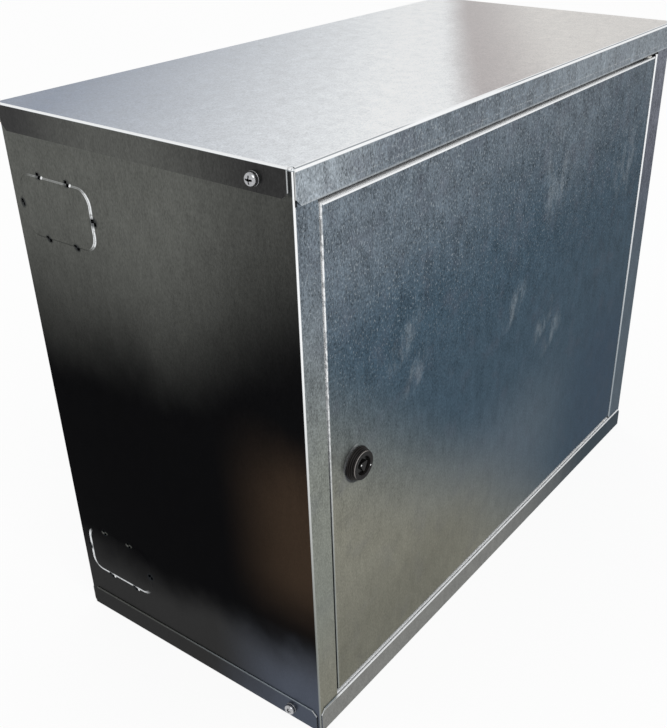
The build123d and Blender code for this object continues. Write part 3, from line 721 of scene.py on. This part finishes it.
def screw_zinc(name):
    """Zinc plate of the detailed screws, with painted shade in the recess and in the groove under the head.
    """
    s = Surface(name)
    x, y, z = s.parts(s.place)
    spots = s.noise(0.9 * MM, detail=3.0)
    tone = s.mix(spots, SCREW_DULL, SCREW_BRIGHT)
    head_top = SCREW_FLANGE_THICKNESS + SCREW_HEAD_HEIGHT
    radius = s.distance(x, y)
    # Painted shade in the cross recess and in the groove under the head
    recess_shade = s.all_of(s.rise(z, head_top - SCREW_CROWN - 0.15 * MM, head_top - SCREW_CROWN - 0.5 * MM),
                      s.rise(radius, RECESS_SPAN / 2 + 0.2 * MM, RECESS_SPAN / 2))
    painted_dark_band = s.band(z, SCREW_FLANGE_THICKNESS - 0.05 * MM, SCREW_FLANGE_THICKNESS + 0.45 * MM, 0.08 * MM)
    tone = s.mix(s.any_of(recess_shade, painted_dark_band), tone, RECESS_SHADE)
    s.bump(spots, 0.02 * MM, 0.4)
    return s.finish(tone, s.spread(spots, 0.16, 0.34), metallic=1.0)


def black_plastic(name):
    """Black moulded plastic with a fine satin texture, painted highlights on its ribs and on the rim's upper
    left, and a painted glint.
    """
    s = Surface(name)
    fine = s.noise(0.35 * MM, detail=2.0)
    patches = s.noise(5 * MM, detail=3.0)
    tone = s.mix(patches, PLASTIC_DEEP, PLASTIC_SOFT)
    x, y, z = s.parts(s.place)
    # Painted highlights in bands along the ribs
    ripple = s.math("SINE", s.math("MULTIPLY", z, 2 * pi * LOCK_RIBS / LOCK_FLANGE_HEIGHT))
    tone = s.mix(s.rise(ripple, 0.1, 0.9), tone, RIB_LIGHT)
    radius = s.distance(x, y)
    rim = s.all_of(s.band(radius, LOCK_RIM_RADIUS - 0.5 * MM, LOCK_RIM_RADIUS + 0.1 * MM, 0.12 * MM),
                   s.rise(z, LOCK_FLANGE_HEIGHT - 0.5 * MM, LOCK_FLANGE_HEIGHT - 0.3 * MM))
    # Painted highlight on the rim's upper left
    upper_left = s.rise(s.math("DIVIDE", s.math("SUBTRACT", y, x), radius), 0.0, 1.0)
    tone = s.mix(s.all_of(rim, upper_left), tone, RIM_LIGHT)
    # Painted glint on the housing
    painted_glint = s.all_of(s.blot(x, LOCK_GLINT[0], 0.7 * MM, y, LOCK_GLINT[1], 1.0 * MM), s.rise(z, 0.0, 1 * MM))
    tone = s.mix(painted_glint, tone, GLINT)
    s.bump(fine, 0.03 * MM, 0.5)
    return s.finish(tone, s.spread(patches, 0.34, 0.50), IOR=1.45, Specular_IOR_Level=0.11)


def black_lacquer(name):
    """Black lacquered casting of the lock's core, a little glossier than the housing."""
    s = Surface(name)
    fine = s.noise(0.6 * MM, detail=3.0)
    tone = s.mix(fine, LACQUER_DEEP, LACQUER_SOFT)
    x, y, z = s.parts(s.place)
    # Painted glint on the core's face
    painted_glint = s.blot(x, CORE_GLINT[0], 0.8 * MM, z, CORE_GLINT[1], 0.9 * MM)
    tone = s.mix(s.all_of(painted_glint, s.rise(y, FRONT, FRONT - 1 * MM)), tone, GLINT)
    s.bump(fine, 0.04 * MM, 0.5)
    return s.finish(tone, s.spread(fine, 0.16, 0.30), IOR=1.45, Specular_IOR_Level=0.10)


def nylon(name):
    """Natural nylon of the hinge washers."""
    s = Surface(name)
    fine = s.noise(1.5 * MM, detail=2.0)
    tone = s.mix(fine, NYLON_DULL, NYLON_BRIGHT)
    return s.finish(tone, s.spread(fine, 0.38, 0.55), IOR=1.53)


def value_at(value, angle):
    """A ring's radius or height at an angle, where it may be a function of the angle."""
    return value(angle) if callable(value) else value


def turned(name, rings, sectors, closed=False):
    """Smooth mesh turned round Z from (radius, height) rings, each a number or a function."""
    mesh = bmesh.new()
    loops = []
    for radius, height in rings:
        loop = []
        for index in range(sectors):
            angle = 2 * pi * index / sectors
            r = value_at(radius, angle)
            loop.append(mesh.verts.new((r * cos(angle), r * sin(angle), value_at(height, angle))))
        loops.append(loop)
    pairs = list(zip(loops, loops[1:]))
    if closed:
        pairs.append((loops[-1], loops[0]))
    for lower, upper in pairs:
        for index in range(sectors):
            after = (index + 1) % sectors
            mesh.faces.new((lower[index], lower[after], upper[after], upper[index]))
    bmesh.ops.remove_doubles(mesh, verts=mesh.verts, dist=1e-7)
    bmesh.ops.recalc_face_normals(mesh, faces=mesh.faces)
    return mesh_object(name, mesh)


def mesh_object(name, mesh):
    """Object from a bmesh, smooth shaded."""
    for face in mesh.faces:
        face.smooth = True
    data = bpy.data.meshes.new(name)
    mesh.to_mesh(data)
    mesh.free()
    piece = bpy.data.objects.new(name, data)
    bpy.context.scene.collection.objects.link(piece)
    return piece


def stand_on(piece, origin, axis):
    """Puts a piece's origin at a point with its Z along the axis."""
    turn = Vector(axis).to_track_quat("Z", "Y").to_matrix().to_4x4()
    piece.matrix_world = Matrix.Translation(origin) @ turn


def arc(centre, radius, start, end, steps):
    """(radius, height) points along an arc, with its angles in degrees from the radial direction."""
    points = []
    for step in range(steps + 1):
        angle = radians(start + (end - start) * step / steps)
        points.append((centre[0] + radius * cos(angle), centre[1] + radius * sin(angle)))
    return points


def dress(piece, material):
    """Gives a piece or a node one material all over."""
    piece.data.materials.clear()
    piece.data.materials.append(material)


def thread_radius(root, crest, pitch, height, angle):
    """Radius of a helical thread at a height and an angle."""
    turn = (height / pitch - angle / (2 * pi)) % 1
    ridge = 1 - abs(2 * turn - 1)
    return root + (crest - root) * min(1.0, THREAD_SLOPE * ridge)


def recess_depth(x, y):
    """How deep the cross recess is at a point of the screw's head."""
    across = min(abs(x), abs(y))
    along = max(abs(x), abs(y))
    reach = max(0.0, 1 - (along / (RECESS_SPAN / 2)) ** 2)
    wall = min(1.0, max(0.0, (RECESS_WIDTH / 2 - across) / RECESS_WALL + 0.5))
    return RECESS_DEPTH * reach ** RECESS_BOWL * wall


def screw_piece(name, flange_radius, length):
    """Domed head with a cross recess and a flange, on a threaded shank with a pointed tip."""
    head_top = SCREW_FLANGE_THICKNESS + SCREW_HEAD_HEIGHT
    flat_radius = SCREW_HEAD_RADIUS - SCREW_DOME_ROUND * SCREW_DOME_SHARE
    rings = []
    for step in range(SCREW_TOP_RINGS + 1):
        radius = flat_radius * step / SCREW_TOP_RINGS
        level = head_top - SCREW_CROWN * (radius / flat_radius) ** 2

        def height(angle, radius=radius, level=level):
            return level - recess_depth(radius * cos(angle), radius * sin(angle))

        rings.append((radius, height))
    shoulder = (flat_radius, head_top - SCREW_CROWN - SCREW_DOME_ROUND)
    for reach, level in arc(shoulder, SCREW_DOME_ROUND, 78, 0, 10):
        rings.append((flat_radius + (reach - flat_radius) * SCREW_DOME_SHARE, level))
    rings.append((SCREW_HEAD_RADIUS, SCREW_FLANGE_THICKNESS + SCREW_NECK))
    rings.append((SCREW_HEAD_RADIUS - SCREW_NECK, SCREW_FLANGE_THICKNESS))
    edge = (flange_radius - SCREW_FLANGE_EDGE, SCREW_FLANGE_THICKNESS - SCREW_FLANGE_EDGE)
    rings += arc(edge, SCREW_FLANGE_EDGE, 90, 0, 4)
    rings.append((flange_radius, SCREW_SEAT_CHAMFER))
    rings.append((flange_radius - SCREW_SEAT_CHAMFER, 0.0))
    shank = length - head_top
    rings.append((SCREW_RADIUS, 0.0))
    for step in range(1, SCREW_SHANK_RINGS):
        depth = shank * step / SCREW_SHANK_RINGS
        taper = min(1.0, (shank - depth) / SCREW_TIP)

        def radius(angle, depth=depth, taper=taper):
            return taper * thread_radius(SCREW_ROOT, SCREW_RADIUS, SCREW_PITCH, depth, angle)

        rings.append((radius, -depth))
    rings.append((0.0, -shank))
    return turned(name, rings, SCREW_SECTORS)


def add_screws(material):
    """Detailed screws in the place of the plain ones."""
    outward = {"left": (-1, 0, 0), "right": (1, 0, 0), "rear_left": (0, 1, 0), "rear_right": (0, 1, 0)}
    head = SCREW_FLANGE_THICKNESS + SCREW_HEAD_HEIGHT
    for cover in ("cover", "tray"):
        for place, axis in outward.items():
            node = f"{cover}_screw_{place}"
            low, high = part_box(node)
            centre = (low + high) / 2
            axis = Vector(axis)
            length = (high - low).dot(Vector((abs(axis.x), abs(axis.y), 0)))
            seat = centre + axis * (length / 2 - head)
            flange_radius = (high.z - low.z) / 2
            piece = screw_piece(node + "_detail", flange_radius, length)
            stand_on(piece, seat, axis)
            dress(piece, material)
            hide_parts(node)
            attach(piece, "box")


def lock_body_radius(depth):
    """Radius of the threaded lock body at a depth, as a function of the angle, with its two flats."""
    def radius(angle):
        root = LOCK_THREAD_CREST - LOCK_THREAD_DEPTH
        threaded = thread_radius(root, LOCK_THREAD_CREST, LOCK_THREAD_PITCH, depth, angle)
        flat = LOCK_BODY_FLAT / max(abs(cos(angle)), 1e-3)
        return min(threaded, flat)
    return radius


def add_lock_housing(material):
    """Ribbed cone with a flat face and a recess, on a threaded body with two flats."""
    floor = LOCK_FLANGE_HEIGHT - LOCK_RECESS_DEPTH
    rim = (LOCK_RIM_RADIUS - LOCK_RIM_ROUND, LOCK_FLANGE_HEIGHT - LOCK_RIM_ROUND)
    lip = (LOCK_RECESS_RADIUS + LOCK_RECESS_ROUND, LOCK_FLANGE_HEIGHT - LOCK_RECESS_ROUND)
    rings = [(LOCK_BORE, -LOCK_BODY_LENGTH), (LOCK_BORE, floor)]
    rings.append((LOCK_RECESS_RADIUS - LOCK_RECESS_FILLET, floor))
    rings.append((LOCK_RECESS_RADIUS, floor + LOCK_RECESS_FILLET))
    rings += arc(lip, LOCK_RECESS_ROUND, 180, 90, 4)
    rings += arc(rim, LOCK_RIM_ROUND, 90, 10, 6)
    steps = RINGS_PER_RIB * LOCK_RIBS
    high = rim[1]
    for step in range(1, steps):
        share = step / steps
        radius = LOCK_RIM_RADIUS + (LOCK_FLANGE_RADIUS - LOCK_RIM_RADIUS) * share
        rib = LOCK_RIB_DEPTH * (1 - cos(2 * pi * share * LOCK_RIBS)) / 2
        rings.append((radius - rib, high * (1 - share)))
    rings.append((LOCK_FLANGE_RADIUS, 0.0))
    rings.append((LOCK_THREAD_CREST - LOCK_THREAD_DEPTH, 0.0))
    for step in range(1, LOCK_BODY_RINGS):
        depth = LOCK_BODY_LENGTH * step / LOCK_BODY_RINGS
        rings.append((lock_body_radius(depth), -depth))
    rings.append((LOCK_BODY_RADIUS - LOCK_THREAD_DEPTH - LOCK_BODY_CHAMFER, -LOCK_BODY_LENGTH))
    piece = turned("lock_housing_detail", rings, LOCK_SECTORS, closed=True)
    stand_on(piece, (LOCK.x, FRONT, LOCK.z), (0, -1, 0))
    dress(piece, material)
    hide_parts("lock_housing")
    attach(piece, "door")


def outer_planes(edge, outer):
    """How many of the three planes through a corner piece's outermost point hold an edge."""
    count = 0
    for axis in range(3):
        count += all(abs(vertex.co[axis] - outer[axis]) < SAME_PLANE for vertex in edge.verts)
    return count


def add_cover_corners(material):
    """Rounded corners of the cover, drawn in between its skirts over the relief notches."""
    for side, side_name in ((-1, "left"), (1, "right")):
        for end, end_name in ((-1, "front"), (1, "rear")):
            mesh = bmesh.new()
            outer = Vector((side * RIGHT, end * LID_BACK, TOP))
            inner = outer - Vector((side * CORNER_ACROSS, end * CORNER_INWARD, CORNER_DEPTH))
            bmesh.ops.create_cube(mesh, size=1.0)
            for vertex in mesh.verts:
                vertex.co = Vector((
                    outer.x if vertex.co.x * side > 0 else inner.x,
                    outer.y if vertex.co.y * end > 0 else inner.y,
                    outer.z if vertex.co.z > 0 else inner.z,
                ))
            edges = [edge for edge in mesh.edges if outer_planes(edge, outer) == 2]
            bmesh.ops.bevel(mesh, geom=edges, offset=CORNER_ROUND, segments=6, affect="EDGES", profile=0.5)
            bmesh.ops.recalc_face_normals(mesh, faces=mesh.faces)
            piece = mesh_object(f"cover_corner_{side_name}_{end_name}", mesh)
            dress(piece, material)
            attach(piece, "box")


def soften(node, width):
    """Rounds a node's sharp edges."""
    bevel = node.modifiers.new("soft_edges", "BEVEL")
    bevel.width = width
    bevel.segments = 3
    bevel.limit_method = "ANGLE"
    bevel.angle_limit = radians(40)


def dress_nodes():
    """Materials of the nodes that stay as they are, and the pieces that replace others."""
    dress(NODES["body_shell"], shell_sheet())
    dress(NODES["door_panel"], door_sheet())
    cover = cover_sheet()
    dress(NODES["top_cover"], cover)
    add_cover_corners(cover)
    dress(NODES["bottom_tray"], tray_sheet())
    rail = rail_sheet()
    for name in ("header_rail", "sill_rail"):
        dress(NODES[name], rail)
    bright = zinc("screw_zinc")
    for name in ("upper_hinge_pin", "lower_hinge_pin", "cam_screw", "cam_washer"):
        dress(NODES[name], bright)
    plastic = black_plastic("lock_black")
    dress(NODES["lock_nut"], plastic)
    dress(NODES["lock_core"], black_lacquer("core_zinc"))
    soften(NODES["lock_core"], SOFT_EDGE)
    dress(NODES["lock_cam"], zinc("cam_steel", CAM_STEEL))
    soften(NODES["lock_cam"], SOFT_EDGE)
    washer = nylon("washer_plastic")
    for name in ("upper_hinge_washer", "lower_hinge_washer"):
        dress(NODES[name], washer)
    add_screws(screw_zinc("screw_zinc_detail"))
    add_lock_housing(plastic)


def background_share(tree):
    """1 for the rays that see the floor or the world straight, in gloss or through glass."""
    path = tree.nodes.new("ShaderNodeLightPath")
    total = path.outputs["Is Camera Ray"]
    for name in ("Is Glossy Ray", "Is Transmission Ray"):
        add = tree.nodes.new("ShaderNodeMath")
        add.operation = "MAXIMUM"
        tree.links.new(total, add.inputs[0])
        tree.links.new(path.outputs[name], add.inputs[1])
        total = add.outputs[0]
    return total


def add_floor():
    """Wide pale floor, white where it is seen, which keeps the box's shadow."""
    bpy.ops.mesh.primitive_circle_add(vertices=96, radius=FLOOR_RADIUS, fill_type="NGON", location=(0, 0, 0))
    floor = bpy.context.object
    floor.name = "floor"
    material = bpy.data.materials.new("floor")
    material.use_nodes = True
    tree = material.node_tree
    tree.nodes.clear()
    diffuse = tree.nodes.new("ShaderNodeBsdfDiffuse")
    diffuse.inputs["Color"].default_value = FLOOR_TONE
    glow = tree.nodes.new("ShaderNodeEmission")
    glow.inputs["Color"].default_value = (1, 1, 1, 1)
    glow.inputs["Strength"].default_value = 1.0
    share = tree.nodes.new("ShaderNodeMath")
    share.operation = "MULTIPLY"
    share.inputs[1].default_value = FLOOR_GLOW
    tree.links.new(background_share(tree), share.inputs[0])
    mix = tree.nodes.new("ShaderNodeMixShader")
    tree.links.new(share.outputs[0], mix.inputs[0])
    tree.links.new(diffuse.outputs[0], mix.inputs[1])
    tree.links.new(glow.outputs[0], mix.inputs[2])
    output = tree.nodes.new("ShaderNodeOutputMaterial")
    tree.links.new(mix.outputs[0], output.inputs["Surface"])
    floor.data.materials.append(material)


def add_world():
    """Even pale studio light, a little weaker overhead."""
    world = bpy.data.worlds.new("studio")
    bpy.context.scene.world = world
    world.use_nodes = True
    tree = world.node_tree
    tree.nodes.clear()
    coordinates = tree.nodes.new("ShaderNodeTexCoord")
    split = tree.nodes.new("ShaderNodeSeparateXYZ")
    tree.links.new(coordinates.outputs["Generated"], split.inputs[0])
    ramp = tree.nodes.new("ShaderNodeMapRange")
    ramp.inputs["From Min"].default_value, ramp.inputs["From Max"].default_value = SKY_RISE
    ramp.inputs["To Min"].default_value, ramp.inputs["To Max"].default_value = SKY_STRENGTH
    tree.links.new(split.outputs[2], ramp.inputs["Value"])
    background = tree.nodes.new("ShaderNodeBackground")
    background.inputs["Color"].default_value = (1, 1, 1, 1)
    tree.links.new(ramp.outputs["Result"], background.inputs["Strength"])
    output = tree.nodes.new("ShaderNodeOutputWorld")
    tree.links.new(background.outputs[0], output.inputs["Surface"])


def add_lamp(name, place, aim, size, power):
    """Square soft lamp that shines from a place to a point."""
    data = bpy.data.lights.new(name, "AREA")
    data.size = size
    data.energy = power
    lamp = bpy.data.objects.new(name, data)
    lamp.location = place
    lamp.rotation_euler = (Vector(aim) - Vector(place)).to_track_quat("-Z", "Y").to_euler()
    bpy.context.scene.collection.objects.link(lamp)


def add_camera():
    """The photograph's camera: where it stood, how it was turned and its framing."""
    data = bpy.data.cameras.new("camera")
    data.lens = CAMERA_LENS
    data.shift_x, data.shift_y = CAMERA_SHIFT
    camera = bpy.data.objects.new("camera", data)
    camera.location = CAMERA_PLACE
    camera.rotation_euler = CAMERA_TURN
    bpy.context.scene.collection.objects.link(camera)
    bpy.context.scene.camera = camera


add_camera()
add_world()
add_floor()
add_lamp("key", KEY_PLACE, KEY_AIM, KEY_SIZE, KEY_POWER)
dress_nodes()
bpy.context.scene.view_settings.view_transform = "Standard"
